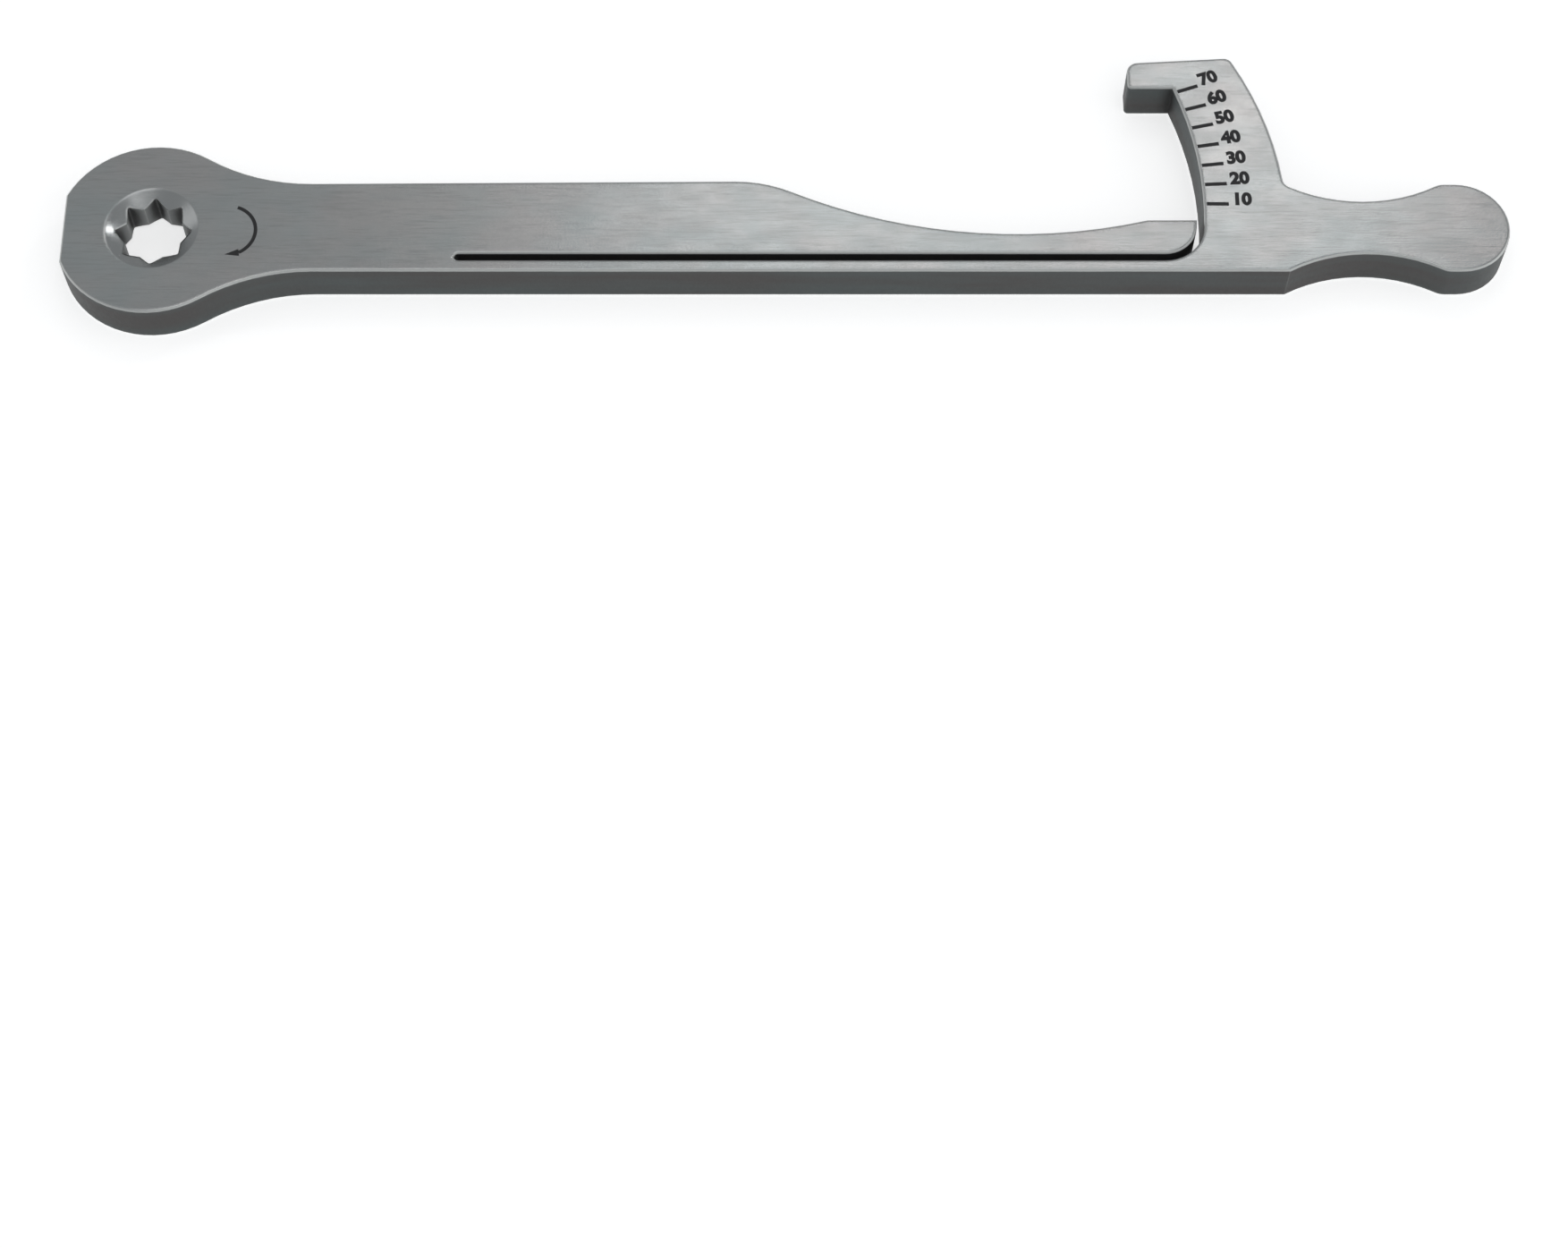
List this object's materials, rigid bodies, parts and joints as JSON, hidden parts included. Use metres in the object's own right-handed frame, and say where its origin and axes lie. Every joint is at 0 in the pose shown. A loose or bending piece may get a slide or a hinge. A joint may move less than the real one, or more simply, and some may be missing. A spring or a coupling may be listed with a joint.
{
  "type": "implant torque wrench",
  "caption": "One-piece beam-type torque wrench for dental implants: star drive head, slotted measuring beam with pointer, curved scale with stop hook, and a waisted handle.",
  "frame": {"origin": "on the axis of the drive socket, in the plane of the underside", "axes": "+X along the handle away from the head, +Y across the wrench towards the scale, +Z out of the marked face along the socket's axis"},
  "size_m": [0.1078, 0.0225, 0.0035],
  "materials": {
    "steel": "satin, tumbled after wire cutting"
  },
  "bodies": {
    "root": {"wrench_body": "steel"}
  },
  "joints": []
}
